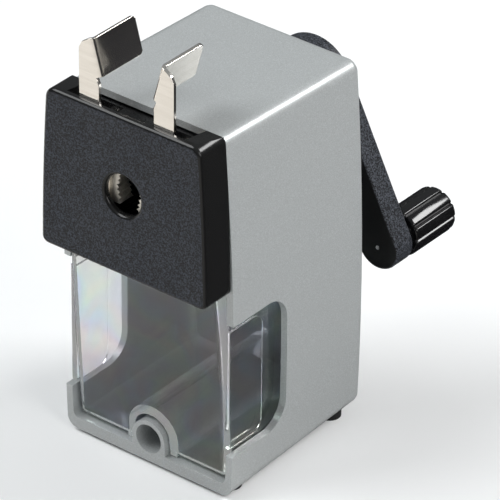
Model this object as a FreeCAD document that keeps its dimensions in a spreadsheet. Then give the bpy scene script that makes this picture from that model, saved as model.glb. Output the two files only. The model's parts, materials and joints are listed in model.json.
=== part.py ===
import FreeCAD, Part
import math
import os
import re

import Sketcher
from FreeCAD import Placement, Rotation, Vector

# Desk pencil sharpener with a clear shavings drawer and a spring-loaded pencil carriage.
# Frame: +X right, +Y to the crank side, +Z up; origin on the table, at the middle of the base.

doc = FreeCAD.newDocument("PencilSharpener")
sheet = doc.addObject("Spreadsheet::Sheet", "Sizes")

sizes = {
    # housing
    "foot_gap": 1.2,
    "housing_height": 120,
    "housing_depth": 61.6,
    "bottom_width": 61.6,
    "top_width": 56,
    "side_radius": 901.4,
    "rear_rise": 2.3,
    "rear_drop": 1.9,
    "wall": 2.2,
    "floor_thickness": 3.8,
    "long_edge_round": 3.6,
    "moulded_round": 0.9,
    "bottom_flare": 0.15,
    "top_flare": 0.3,
    "rear_edge_round": 2.4,
    "front_face": "=-housing_depth/2",
    "rear_face": "=housing_depth/2",
    "housing_top": "=foot_gap+housing_height",
    "notch_depth": 24.7,
    "notch_bottom": 15.4,
    "notch_top": 60.2,
    "notch_round": 8.5,
    "boss_radius": 3,
    "boss_length": 13,
    "boss_pilot": 1.2,
    "boss_upper_x": 24.2,
    "boss_upper_z": 112.6,
    "boss_lower_x": 26.4,
    "boss_lower_z": 74,
    # clamp socket in the base
    "socket_height": 8.9,
    "socket_bore": 4.7,
    "socket_outer": 6.1,
    "socket_length": 44,
    "pad_inset": 6,
    "pad_lug_y": 23.6,
    "pad_lug_radius": 3.6,
    # main axis: pencil, cutter carrier and crank
    "axis_height": 97,
    "bulkhead_front": -28.8,
    "bulkhead_thickness": 2.8,
    "bulkhead_bottom": 70.4,
    "bulkhead_rear": "=bulkhead_front+bulkhead_thickness",
    "pencil_bore": 6.5,
    # cutting gear; every bevel size is measured from the point where the two axes meet
    "cone_angle": 9,
    "cutter_radius": 5,
    "cutter_teeth": 10,
    "cutter_twist": 100,
    "tip_y": 17,
    "apex_y": "=tip_y+cutter_radius/sin(cone_angle)",
    "ring_teeth": 48,
    "pinion_teeth": 12,
    "mesh_y": -22.5,
    "ring_length": 6,
    "ring_outer": 18.8,
    "lug_offset": 21,
    "lug_radius": 2.7,
    "pinion_length": 3.6,
    "journal_radius": 2.6,
    "axle_radius": 1.5,
    "running_gap": 0.05,
    "carrier_radius": 14,
    "carrier_front": -18.6,
    "carrier_plate": 3,
    "carrier_rear": 21.6,
    "hub_radius": 6,
    "hub_end": 26.4,
    # crank
    "shaft_radius": 3,
    "shaft_start": 21.2,
    "bearing_radius": 9.5,
    "bearing_neck": 7,
    "bearing_end": 37.6,
    "bearing_screw_offset": 8.2,
    "arm_front": 38.9,
    "arm_thickness": 8,
    "arm_rear": "=arm_front+arm_thickness",
    "arm_hub_radius": 13.8,
    "arm_tip_radius": 7.2,
    "crank_radius": 53.2,
    "crank_angle": 56,
    "arm_taper_sin": "=(arm_hub_radius-arm_tip_radius)/crank_radius",
    "arm_taper_cos": "=sqrt(1-arm_taper_sin*arm_taper_sin)",
    "knob_radius": 7.5,
    "knob_front": 47.8,
    "knob_length": 20.4,
    "knob_end": "=knob_front+knob_length",
    "knob_neck": 5.8,
    "knob_neck_end": "=knob_front+1.2",
    "knob_flutes": 10,
    "flute_radius": 1.75,
    "screw_seat": "=arm_rear-2.2",
    "spindle_radius": 2,
    "spindle_tip": 0.7,
    # drawer
    "drawer_bottom_width": 56.4,
    "drawer_top_width": 57,
    "drawer_bottom": 5.3,
    "drawer_top": 69,
    "drawer_side_radius": 560,
    "drawer_wall": 1.8,
    "drawer_rear": 26,
    "drawer_lean": 0.06,
    "drawer_pivot_z": 36.2,
    "drawer_corner": 3,
    "drawer_edge_round": 2.6,
    "tunnel_half": 6.7,
    "tunnel_crown": 16.6,
    "tunnel_wall": 2.6,
    "grip_depth": 15.6,
    "grip_proud": 1.4,
    "grip_corner": 4,
    # front cover, which travels with the jaws
    "cover_rear": -30.9,
    "cover_front": -42.2,
    "cover_bottom": 70.35,
    "cover_top": 122.6,
    "cover_bottom_half": 30.4,
    "cover_top_half": 28.1,
    "cover_side_radius": 810,
    "cover_wall": 2.4,
    "cover_face": 2,
    "cover_corner": 3.7,
    "cover_low_corner": 2.4,
    "cover_edge_round": 1.3,
    "cover_slot_half": 21.5,
    "cover_boss_x": 22.3,
    "cover_boss_low": 77.6,
    "cover_boss_high": 112.4,
    "cover_boss_radius": 2.6,
    "cover_boss_pilot": 1.1,
    "flange_half": 7.4,
    "flange_length": 5,
    "plate_front": -32.2,
    "plate_rear": -31,
    "rod_x": 23.5,
    "rod_z": 84,
    "rod_radius": 2,
    "rod_end": 26,
    "clip_front": 22.5,
    "spring_coil": 3,
    "spring_wire": 0.35,
    "spring_turns": 18,
    # levers and jaws, mirrored about the pencil axis
    "sheet_steel": 1.2,
    "lever_front": -40.1,
    "lever_rear": "=lever_front+sheet_steel",
    "pivot_x": 13.5,
    "pivot_z": 112,
    "pivot_radius": 2,
    "sector_teeth": 18,
    "strip_inner": 9.9,
    "strip_outer": 17.2,
    "arm_inner": 6.9,
    "arm_outer": 12.4,
    "arm_bottom": "=post_z-2.6",
    "fold_bottom": 131,
    "fold_bottom_x": 8.8,
    "fold_top": 142.4,
    "fold_top_x": 12,
    "tab_length": 17.2,
    "jaw_rest_gap": 2.6,
    "jaw_depth": 5.2,
    "jaw_outer": 12.2,
    "jaw_half_height": 5.4,
    "jaw_teeth": 7,
    "rivet_x": 9.4,
    "rivet_rise": 3,
    "rivet_radius": 1.2,
    "post_x": 9.2,
    "post_z": 86.4,
    "post_radius": 1,
    "jaw_coil": 1.3,
    "jaw_wire": 0.25,
    "jaw_turns": 14,
}

for row, (alias, amount) in enumerate(sizes.items(), start=1):
    sheet.set(f"A{row}", alias)
    sheet.set(f"B{row}", str(amount))
    sheet.setAlias(f"B{row}", alias)
doc.recompute()

PARTS = []


def linked(text):
    """Expression text with every size name pointing at the sheet."""
    return re.sub(r"[a-z_][a-z_0-9]*",
                  lambda word: f"Sizes.{word[0]}" if word[0] in sizes else word[0], str(text))


def number(text):
    """Value of an expression in the sheet's sizes."""
    result = sheet.evalExpression(str(text))
    return float(getattr(result, "Value", result))


def bind(feature, **properties):
    for name, text in properties.items():
        feature.setExpression(name.replace("__", "."), linked(text))


def place(feature, x=0, y=0, z=0, turn=None):
    """Bound position, with an optional fixed rotation."""
    if turn:
        feature.Placement = Placement(Vector(), turn)
    bind(feature, Placement__Base__x=x, Placement__Base__y=y, Placement__Base__z=z)


def keep(feature, label):
    """Marks a finished sub-part for export."""
    feature.Label = label
    PARTS.append(feature)
    return feature


# ---- PartDesign helpers

def new_body(label):
    return keep(doc.addObject("PartDesign::Body", label), label)


def origin_item(body, role):
    return next(item for item in body.Origin.OriginFeatures if item.Role == role)


def new_sketch(body, plane, offset):
    sketch = body.newObject("Sketcher::SketchObject", "Sketch")
    sketch.AttachmentSupport = (origin_item(body, plane), [""])
    sketch.MapMode = "FlatFace"
    bind(sketch, AttachmentOffset__Base__z=offset)
    return sketch


def outline(body, plane, offset, corners):
    """Closed sketch; a corner's optional third value is the radius of the edge that leaves it.

    The edge bulges to the right of the way it runs, or to the left if the radius is negative.
    """
    sketch = new_sketch(body, plane, offset)
    spots = [(number(corner[0]), number(corner[1])) for corner in corners]
    ends = []
    for index, corner in enumerate(corners):
        start = Vector(*spots[index], 0)
        end = Vector(*spots[(index + 1) % len(spots)], 0)
        if len(corner) == 3:
            radius = number(corner[2])
            chord = end - start
            sag = abs(radius) - math.sqrt(radius ** 2 - chord.Length ** 2 / 4)
            right = Vector(chord.y, -chord.x, 0).normalize()
            middle = (start + end) / 2 + right * math.copysign(sag, radius)
            edge = sketch.addGeometry(Part.Arc(start, middle, end), False)
            forwards = sketch.Geometry[edge].StartPoint.distanceToPoint(start) < 1e-4
            ends.append((1, 2) if forwards else (2, 1))
            bound = sketch.addConstraint(Sketcher.Constraint("Radius", edge, abs(radius)))
            sketch.setExpression(f"Constraints[{bound}]", linked(f"abs({corner[2]})"))
        else:
            sketch.addGeometry(Part.LineSegment(start, end), False)
            ends.append((1, 2))
    for index, corner in enumerate(corners):
        following = (index + 1) % len(corners)
        sketch.addConstraint(
            Sketcher.Constraint("Coincident", index, ends[index][1], following, ends[following][0]))
        for way, text, spot in zip(("DistanceX", "DistanceY"), corner, spots[index]):
            bound = sketch.addConstraint(Sketcher.Constraint(way, -1, 1, index, ends[index][0], spot))
            sketch.setExpression(f"Constraints[{bound}]", linked(text))
    return sketch


def circles(body, plane, offset, rounds):
    """Sketch of full circles, each (x, y, radius)."""
    sketch = new_sketch(body, plane, offset)
    for index, (x, y, radius) in enumerate(rounds):
        centre = Vector(number(x), number(y), 0)
        sketch.addGeometry(Part.Circle(centre, Vector(0, 0, 1), number(radius)), False)
        for way, text, spot in (("DistanceX", x, centre.x), ("DistanceY", y, centre.y)):
            bound = sketch.addConstraint(Sketcher.Constraint(way, -1, 1, index, 3, spot))
            sketch.setExpression(f"Constraints[{bound}]", linked(text))
        bound = sketch.addConstraint(Sketcher.Constraint("Radius", index, number(radius)))
        sketch.setExpression(f"Constraints[{bound}]", linked(radius))
    return sketch


def pad(body, sketch, length, backwards=False):
    feature = body.newObject("PartDesign::Pad", "Pad")
    feature.Profile = sketch
    feature.Reversed = backwards
    bind(feature, Length=length)
    doc.recompute()
    return feature


def pocket(body, sketch, length, backwards=False, centred=False):
    before = body.Shape.Volume
    feature = body.newObject("PartDesign::Pocket", "Pocket")
    feature.Profile = sketch
    feature.SideType = "Symmetric" if centred else "One side"
    feature.Reversed = backwards
    bind(feature, Length=length)
    doc.recompute()
    if body.Shape.Volume > before - 1e-3:
        raise RuntimeError(f"{body.Label}: {feature.Name} removed nothing")
    return feature


def loft(body, kind, first, rest):
    feature = body.newObject(f"PartDesign::{kind}Loft", kind)
    feature.Profile = first
    feature.Sections = rest
    feature.Ruled = True
    doc.recompute()
    return feature


def soften(body, kind, size, wanted):
    """Fillet or chamfer on the edges of the tip that wanted() picks."""
    base = body.Tip
    picked = [f"Edge{i}" for i, edge in enumerate(base.Shape.Edges, start=1) if wanted(edge)]
    if not picked:
        raise RuntimeError(f"{body.Label}: no edge to soften")
    feature = body.newObject(f"PartDesign::{kind}", kind)
    feature.Base = (base, picked)
    bind(feature, **{"Radius" if kind == "Fillet" else "Size": size})
    doc.recompute()
    return feature


def turned(label, profile, x=0, z=0):
    """Body of revolution about an axis along Y; the profile is (radius, y) pairs."""
    body = new_body(label)
    sketch = outline(body, "XY_Plane", 0, profile)
    feature = body.newObject("PartDesign::Revolution", "Revolution")
    feature.Profile = sketch
    feature.ReferenceAxis = (origin_item(body, "Y_Axis"), [""])
    feature.Angle = 360
    place(body, x=x, z=z)
    doc.recompute()
    return body


# ---- Part helpers

ALONG_Y = Rotation(Vector(1, 0, 0), -90)


def rod(label, radius, length, x, y, z, turn=ALONG_Y):
    feature = doc.addObject("Part::Cylinder", label)
    bind(feature, Radius=radius, Height=length)
    place(feature, x, y, z, turn)
    return feature


def fused(label, pieces):
    feature = doc.addObject("Part::MultiFuse", label)
    feature.Shapes = pieces
    return feature


def carved(label, base, tool):
    feature = doc.addObject("Part::Cut", label)
    feature.Base = base
    feature.Tool = tool
    return feature


def grouped(label, pieces):
    feature = doc.addObject("Part::Compound", label)
    feature.Links = pieces
    return keep(feature, label)


def screws(label, spots, seat, way, head, head_height, shank, shank_length):
    """Pan-head slotted screws; the shank runs along +Y from the seat if way is 1, along -Y if -1."""
    made = []
    for index, (x, z) in enumerate(spots):
        head_start = f"{seat} - {head_height}" if way > 0 else seat
        shank_start = seat if way > 0 else f"{seat} - ({shank_length})"
        crown = rod(f"{label}_head", head, head_height, x, head_start, z)
        stem = rod(f"{label}_shank", shank, shank_length, x, shank_start, z)
        slot = doc.addObject("Part::Box", f"{label}_slot")
        bind(slot, Length=f"2.4*{head}", Width=f"{head_height}", Height=f"0.3*{head}")
        outside = -0.5 if way > 0 else 0.5
        place(slot, f"{x} - 1.2*{head}", f"{head_start} + {outside}*{head_height}", f"{z} - 0.15*{head}")
        made.append(carved(f"{label}_{index + 1}", fused(f"{label}_blank", [crown, stem]), slot))
    return grouped(label, made) if len(made) > 1 else keep(made[0], label)


# ---- housing: one moulded shell, open at the front, with side notches and a clamp socket

def housing_outline(body, y, inset, floor, rise, drop):
    """Front view of the shell at depth y: flat floor and top, rounded corners, bulging sides."""
    half_bottom = f"bottom_width/2 - {inset}"
    half_top = f"top_width/2 - {inset}"
    low = f"foot_gap + {rise} + {floor}"
    high = f"housing_top - {drop} - {inset}"
    bend = f"(long_edge_round - 0.6*{inset})"
    points = [
        (f"{half_bottom} - {bend}", low, bend),
        (f"{half_bottom} + bottom_flare", f"{low} + {bend}", "side_radius"),
        (f"{half_top} + top_flare", f"{high} - {bend}", bend),
        (f"{half_top} - {bend}", high),
    ]
    mirrored = [(f"-({x})", z) for x, z, *_ in points]
    return outline(body, "XZ_Plane", f"-({y})", [
        *points,
        (*mirrored[3], bend), (*mirrored[2], "side_radius"), (*mirrored[1], bend), mirrored[0],
    ])


def make_housing():
    body = new_body("housing")
    front = housing_outline(body, "front_face", "0", "0", "0", "0")
    rear = [
        housing_outline(body, f"rear_face - {back}*rear_edge_round", f"{inset}*rear_edge_round",
                        f"{inset}*rear_edge_round", "rear_rise", "rear_drop")
        for back, inset in ((1, 0), (0.5, 0.134), (0.134, 0.5), (0, 1))
    ]
    loft(body, "Additive", front, rear)
    front_hollow = housing_outline(body, "front_face - 0.01", "wall", "floor_thickness", "0", "0")
    rear_hollow = housing_outline(
        body, "rear_face - wall", "wall", "floor_thickness", "0", "rear_drop")
    loft(body, "Subtractive", front_hollow, [rear_hollow])
    deep = "front_face + notch_depth"
    notch = outline(body, "YZ_Plane", 0, [
        ("front_face - 1", "notch_bottom"),
        (f"{deep} - notch_round", "notch_bottom", "notch_round"),
        (deep, "notch_bottom + notch_round"),
        (deep, "notch_top - notch_round", "notch_round"),
        (f"{deep} - notch_round", "notch_top"),
        ("front_face - 1", "notch_top"),
    ])
    pocket(body, notch, "2*bottom_width", centred=True)
    web = outline(body, "XZ_Plane", "-front_face", [
        ("-socket_outer", "foot_gap + 3"), ("socket_outer", "foot_gap + 3"),
        ("socket_outer", "socket_height"), ("-socket_outer", "socket_height")])
    pad(body, web, "socket_length + wall", backwards=True)
    tube = circles(body, "XZ_Plane", "-front_face", [(0, "socket_height", "socket_outer")])
    pad(body, tube, "socket_length + wall", backwards=True)
    bosses = circles(body, "XZ_Plane", "-bulkhead_rear", [
        (f"{side}*boss_{level}_x", f"boss_{level}_z", "boss_radius")
        for side in (-1, 1) for level in ("upper", "lower")])
    pad(body, bosses, "boss_length", backwards=True)
    bore = circles(body, "XZ_Plane", "-front_face", [(0, "socket_height", "socket_bore")])
    pocket(body, bore, "socket_length")
    pilots = circles(body, "XZ_Plane", "-bulkhead_rear", [
        (f"{side}*boss_{level}_x", f"boss_{level}_z", "boss_pilot")
        for side in (-1, 1) for level in ("upper", "lower")])
    pocket(body, pilots, "boss_length - 3")
    rear_holes = circles(body, "XZ_Plane", "-(rear_face - 2*wall)", [
        (0, "axis_height", "bearing_neck"),
        ("-bearing_screw_offset", "axis_height + bearing_screw_offset", 1.2),
        ("bearing_screw_offset", "axis_height - bearing_screw_offset", 1.2)])
    pocket(body, rear_holes, "3*wall")
    return body


def make_base_pad():
    """Rubber pad under the floor, wedge-shaped because the floor rises to the rear."""
    body = new_body("base_pad")
    reach = "(bottom_width/2 - pad_inset)"
    plan = outline(body, "XY_Plane", 0, [
        (f"-{reach}", f"-{reach}"), (reach, f"-{reach}"), (reach, reach), (f"-{reach}", reach)])
    pad(body, plan, "foot_gap + rear_rise")
    lugs = circles(body, "XY_Plane", 0, [
        (f"{x}*{reach}", f"{y}*pad_lug_y", "pad_lug_radius") for x in (-1, 1) for y in (-1, 1)])
    pad(body, lugs, "foot_gap + rear_rise")
    above = outline(body, "YZ_Plane", 0, [
        ("front_face - 1", "foot_gap - rear_rise/housing_depth"),
        ("rear_face + 1", "foot_gap + rear_rise + rear_rise/housing_depth"),
        ("rear_face + 1", "foot_gap + 3*rear_rise"), ("front_face - 1", "foot_gap + 3*rear_rise")])
    pocket(body, above, "2*bottom_width", centred=True)
    return body


# ---- fixed works inside the housing

def make_bulkhead():
    """Moulded wall across the mouth that carries the ring gear and guides the two rods."""
    body = new_body("front_bulkhead")
    low_half = "bottom_width/2 - wall - 1.1"
    high_half = "top_width/2 - wall - 0.4"
    high = "housing_top - wall - 0.3"
    plate = outline(body, "XZ_Plane", "-bulkhead_front", [
        (f"-({low_half})", "bulkhead_bottom"), (low_half, "bulkhead_bottom", "side_radius"),
        (high_half, high), (f"-({high_half})", high, "side_radius")])
    pad(body, plate, "bulkhead_thickness", backwards=True)
    holes = circles(body, "XZ_Plane", "-bulkhead_front", [
        (0, "axis_height", "pencil_bore"),
        ("-rod_x", "rod_z", "rod_radius + running_gap"), ("rod_x", "rod_z", "rod_radius + running_gap")])
    pocket(body, holes, "3*bulkhead_thickness")
    fixings = circles(body, "XZ_Plane", "-bulkhead_front", [
        *[(f"{side}*boss_{level}_x", f"boss_{level}_z", "boss_pilot")
          for side in (-1, 1) for level in ("upper", "lower")],
        ("-lug_offset", "axis_height", "1"), ("lug_offset", "axis_height", "1"),
        (0, "axis_height - lug_offset", "1")])
    pocket(body, fixings, "bulkhead_thickness")
    return body


def tooth_points(teeth, pitch, tip, root, widening):
    """Outline of an involute gear; widening adds to each tooth's width at the pitch circle."""
    pressure = math.radians(20)
    base = pitch * math.cos(pressure)

    def half_angle(radius):
        lean = math.acos(min(1, base / max(radius, base)))
        grown = math.tan(pressure) - pressure - math.tan(lean) + lean
        return math.pi / (2 * teeth) + widening / (2 * pitch) + grown

    points = []
    for index in range(teeth):
        middle = 2 * math.pi * index / teeth
        for radius, side in ((root, -1), (pitch, -1), (tip, -1), (tip, 1), (pitch, 1), (root, 1)):
            angle = middle + side * half_angle(radius)
            points.append((radius * math.cos(angle), radius * math.sin(angle)))
    return points


def closed_wire(points, scale, height):
    corners = [Vector(x * scale, y * scale, height) for x, y in points]
    return Part.makePolygon(corners + corners[:1])


def bevel_sizes():
    """Pitch sizes at the middle of the mesh, from the shaft angle and the tooth counts."""
    ratio = number("ring_teeth") / number("pinion_teeth")
    shaft = math.radians(number("cone_angle"))
    pinion_cone = math.atan(math.sin(shaft) / (ratio - math.cos(shaft)))
    ring_cone = pinion_cone + shaft
    reach = number("apex_y - mesh_y")
    cone_length = reach / math.cos(ring_cone)
    return {
        "ring_pitch": reach * math.tan(ring_cone),
        "pinion_pitch": cone_length * math.sin(pinion_cone),
        "pinion_reach": cone_length * math.cos(pinion_cone),
    }


def make_ring_gear():
    """Internal bevel ring, fixed to the bulkhead by three lugs."""
    bevel = bevel_sizes()
    pitch = bevel["ring_pitch"]
    module = 2 * pitch / number("ring_teeth")
    teeth = tooth_points(int(number("ring_teeth")), pitch, pitch + 1.2 * module,
                         pitch - 0.75 * module, 0.16)
    front = number("bulkhead_rear")
    length = number("ring_length")
    reach = number("apex_y - mesh_y")
    wires = [closed_wire(teeth, (number("apex_y") - y) / reach, y) for y in (front - 1, front + length + 1)]
    space = Part.makeLoft(wires, True, True)
    blank = Part.makeCylinder(number("ring_outer"), length, Vector(0, 0, front))
    offset = number("lug_offset")
    lugs = ((-offset, 0), (offset, 0), (0, offset))  # laid along Y, the last one points down
    for x, down in lugs:
        blank = blank.fuse(Part.makeCylinder(number("lug_radius"), length, Vector(x, down, front)))
    gear = blank.cut(space)
    for x, down in lugs:
        gear = gear.cut(Part.makeCylinder(1, length, Vector(x, down, front)))
    feature = doc.addObject("Part::Feature", "ring_gear")
    feature.Shape = gear
    feature.Placement = Placement(Vector(0, 0, number("axis_height")), ALONG_Y)
    return keep(feature, "ring_gear")


def make_rear_bearing():
    """Collar bush on the rear wall, in which the crank shaft turns."""
    bore = "shaft_radius + running_gap"
    inner = "rear_face - wall"
    body = turned("rear_bearing", [
        (bore, inner), ("bearing_neck", inner), ("bearing_neck", "rear_face"),
        ("bearing_radius + 2", "rear_face"), ("bearing_radius + 2", "rear_face + 2"),
        ("bearing_radius", "rear_face + 3.5"), ("bearing_radius", "bearing_end - 0.6"),
        ("bearing_radius - 0.6", "bearing_end"), (bore, "bearing_end")], z="axis_height")
    pilots = circles(body, "XZ_Plane", "-rear_face", [
        ("-bearing_screw_offset", "bearing_screw_offset", 1),
        ("bearing_screw_offset", "-bearing_screw_offset", 1)])
    pocket(body, pilots, "1.8")
    return body


# ---- crank, cutter carrier and cutter

TILT = Rotation(Vector(1, 0, 0), 90 - number("cone_angle"))


def along_cutter(distance):
    """Point on the cutter's axis, as bound texts, at a distance from the apex."""
    return 0, f"apex_y - {distance}*cos(cone_angle)", f"axis_height + {distance}*sin(cone_angle)"


def make_carrier():
    """Turned block with a conical pencil socket and a slanted slot that holds the cutter."""
    outer = rod("carrier_block", "carrier_radius", "carrier_rear - carrier_front",
                0, "carrier_front", "axis_height")
    hub = rod("carrier_hub", "hub_radius", "hub_end - carrier_rear", 0, "carrier_rear", "axis_height")
    socket = doc.addObject("Part::Cone", "pencil_socket")
    bind(socket, Radius1="(tip_y - carrier_front)*tan(cone_angle) + 0.4", Radius2="0.4",
         Height="tip_y - carrier_front")
    place(socket, 0, "carrier_front", "axis_height", ALONG_Y)
    shaft_bore = rod("shaft_bore", "shaft_radius", "hub_end - shaft_start", 0, "shaft_start", "axis_height")
    near = "(apex_y - tip_y - 1.6)/cos(cone_angle)"
    far = "(apex_y - carrier_front - carrier_plate)/cos(cone_angle)"
    pit = rod("cutter_pit", "cutter_radius + 0.7", f"{far} - {near} - 1", *along_cutter(f"({near})"), TILT)
    window = doc.addObject("Part::Box", "chip_window")
    bind(window, Length="2*cutter_radius + 1.4", Width="carrier_radius", Height=f"{far} - {near} - 1")
    place(window, "-cutter_radius - 0.7", *along_cutter(f"({near})")[1:], TILT)
    journal = rod("journal_bore", "journal_radius + running_gap", "12", *along_cutter(f"({far} - 2)"), TILT)
    pin_bore = rod("axle_bore", "axle_radius", "24", *along_cutter(f"({near} - 5)"), TILT)
    whole = fused("carrier_blank", [outer, hub])
    tools = fused("carrier_tools", [socket, shaft_bore, pit, window, journal, pin_bore])
    carrier = carved("cutter_carrier", whole, tools)
    return keep(carrier, "cutter_carrier")


def cutter_span():
    near = number("(apex_y - tip_y)/cos(cone_angle)") - 0.6
    far = number("(apex_y - carrier_front - carrier_plate)/cos(cone_angle)") - 1.6
    return near, far


def make_cutter():
    """Helical milling cutter on its hollow journal, drawn along the cutter's own axis."""
    near, far = cutter_span()
    radius = number("cutter_radius")
    teeth = int(number("cutter_teeth"))
    steps = 8
    twist = math.radians(number("cutter_twist"))
    wires = []
    for step in range(steps + 1):
        height = near + (far - near) * step / steps
        turn = twist * step / steps
        corners = []
        for index in range(teeth):
            start = 2 * math.pi * index / teeth + turn
            for share, size in ((0, radius), (0.16, radius - 0.15), (0.42, radius - 1), (0.9, radius - 1)):
                angle = start + share * 2 * math.pi / teeth
                corners.append(Vector(size * math.cos(angle), size * math.sin(angle), height))
        wires.append(Part.makePolygon(corners + corners[:1]))
    blade = Part.makeLoft(wires, True, True)
    bevel = bevel_sizes()
    end = bevel["pinion_reach"] + number("pinion_length") / 2
    journal = Part.makeCylinder(number("journal_radius"), end - far + 1, Vector(0, 0, far - 1))
    bore = Part.makeCylinder(number("axle_radius + running_gap"), end - near + 2, Vector(0, 0, near - 1))
    feature = doc.addObject("Part::Feature", "helical_cutter")
    feature.Shape = blade.fuse(journal).cut(bore).removeSplitter()
    feature.Placement = Placement(Vector(0, number("apex_y"), number("axis_height")), TILT)
    return keep(feature, "helical_cutter")


def make_pinion():
    """Bevel pinion pressed on the cutter's journal, in mesh with the ring gear."""
    bevel = bevel_sizes()
    pitch = bevel["pinion_pitch"]
    middle = bevel["pinion_reach"]
    module = 2 * pitch / number("pinion_teeth")
    outline_points = tooth_points(int(number("pinion_teeth")), pitch, pitch + 0.85 * module,
                                  pitch - 1.1 * module, -0.22)
    half = number("pinion_length") / 2
    wires = [closed_wire(outline_points, at / middle, at) for at in (middle - half, middle + half)]
    teeth = Part.makeLoft(wires, True, True)
    bore = Part.makeCylinder(number("journal_radius"), 4 * half, Vector(0, 0, middle - 2 * half))
    feature = doc.addObject("Part::Feature", "cutter_pinion")
    feature.Shape = teeth.cut(bore)
    feature.Placement = Placement(Vector(0, number("apex_y"), number("axis_height")), TILT)
    return keep(feature, "cutter_pinion")


def make_cutter_axle():
    near, _ = cutter_span()
    start = near - 3
    end = bevel_sizes()["pinion_reach"] + number("pinion_length") / 2 + 0.4
    return keep(rod("cutter_axle", "axle_radius", end - start, *along_cutter(start), TILT), "cutter_axle")


def make_crank():
    turned("crank_shaft", [
        (0, "shaft_start"), ("shaft_radius", "shaft_start"), ("shaft_radius", "screw_seat"),
        (1.5, "screw_seat"), (1.5, "screw_seat - 6.8"), (0, "screw_seat - 6.8")], z="axis_height")
    turned("shaft_clip", [
        ("shaft_radius", "hub_end + 0.4"), ("shaft_radius + 2", "hub_end + 0.4"),
        ("shaft_radius + 2", "hub_end + 1.4"), ("shaft_radius", "hub_end + 1.4")], z="axis_height")
    turned("thrust_washer", [
        ("shaft_radius", "bearing_end + 0.1"), ("bearing_radius - 1.5", "bearing_end + 0.1"),
        ("bearing_radius - 1.5", "arm_front"), ("shaft_radius", "arm_front")], z="axis_height")
    screws("crank_screw", [(0, "axis_height")], "screw_seat", -1, 4, 1.8, 1.5, 6.8)

    arm = new_body("crank_arm")
    along = "crank_radius + arm_tip_radius*arm_taper_sin"
    blade = outline(arm, "XZ_Plane", "-arm_front", [
        ("arm_hub_radius*arm_taper_sin", "-arm_hub_radius*arm_taper_cos"),
        (along, "-arm_tip_radius*arm_taper_cos", "arm_tip_radius"),
        (along, "arm_tip_radius*arm_taper_cos"),
        ("arm_hub_radius*arm_taper_sin", "arm_hub_radius*arm_taper_cos"),
    ])
    pad(arm, blade, "arm_thickness", backwards=True)
    pad(arm, circles(arm, "XZ_Plane", "-arm_front", [(0, 0, "arm_hub_radius")]),
        "arm_thickness", backwards=True)
    soften(arm, "Fillet", "moulded_round", lambda edge: edge.BoundBox.YLength < 0.01)
    pocket(arm, circles(arm, "XZ_Plane", "-arm_front", [(0, 0, "shaft_radius")]), "screw_seat - arm_front")
    pocket(arm, circles(arm, "XZ_Plane", "-screw_seat", [(0, 0, 4.6)]), "4")
    pocket(arm, circles(arm, "XZ_Plane", "-arm_front", [("crank_radius", 0, "spindle_tip")]), "3")
    pocket(arm, circles(arm, "XZ_Plane", "-(arm_front + 2)", [("crank_radius", 0, "spindle_radius")]),
           "arm_thickness - 2")
    arm.Placement = Placement(Vector(), Rotation(Vector(0, 1, 0), number("crank_angle")))
    bind(arm, Placement__Base__z="axis_height")

    knob_x = "crank_radius*cos(crank_angle)"
    knob_z = "axis_height - crank_radius*sin(crank_angle)"
    turned("knob_spindle", [
        (0, "arm_front - 0.2"), ("spindle_tip - 0.2", "arm_front - 0.2"), ("spindle_tip", "arm_front"),
        ("spindle_tip", "arm_front + 2"), ("spindle_radius", "arm_front + 2"),
        ("spindle_radius", "knob_end - 4"),
        ("spindle_radius + 1.1", "knob_end - 4"), ("spindle_radius + 1.1", "knob_end - 3"),
        (0, "knob_end - 3")], x=knob_x, z=knob_z)
    bore = "spindle_radius + running_gap"
    counterbore = "spindle_radius + 1.5"
    knob = turned("crank_knob", [
        (bore, "knob_front"), ("knob_neck", "knob_front"), ("knob_neck", "knob_neck_end"),
        ("knob_radius - 0.6", "knob_neck_end"), ("knob_radius", "knob_neck_end + 0.7"),
        ("knob_radius", "knob_end - 2.2"), ("knob_radius - 0.8", "knob_end - 0.9"),
        ("knob_radius - 2.4", "knob_end"), (0, "knob_end"), (0, "knob_end - 2.6"),
        (counterbore, "knob_end - 2.6"), (counterbore, "knob_end - 4.3"), (bore, "knob_end - 4.3")],
        x=knob_x, z=knob_z)
    groove = circles(knob, "XZ_Plane", "-knob_neck_end", [("knob_radius + 1.1", 0, "flute_radius")])
    flute = pocket(knob, groove, "knob_length")
    ring = knob.newObject("PartDesign::PolarPattern", "Flutes")
    ring.Originals = [flute]
    ring.Axis = (origin_item(knob, "Y_Axis"), [""])
    ring.Angle = 360
    bind(ring, Occurrences="knob_flutes")
    knob.Tip = ring
    doc.recompute()


# ---- shavings drawer

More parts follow.
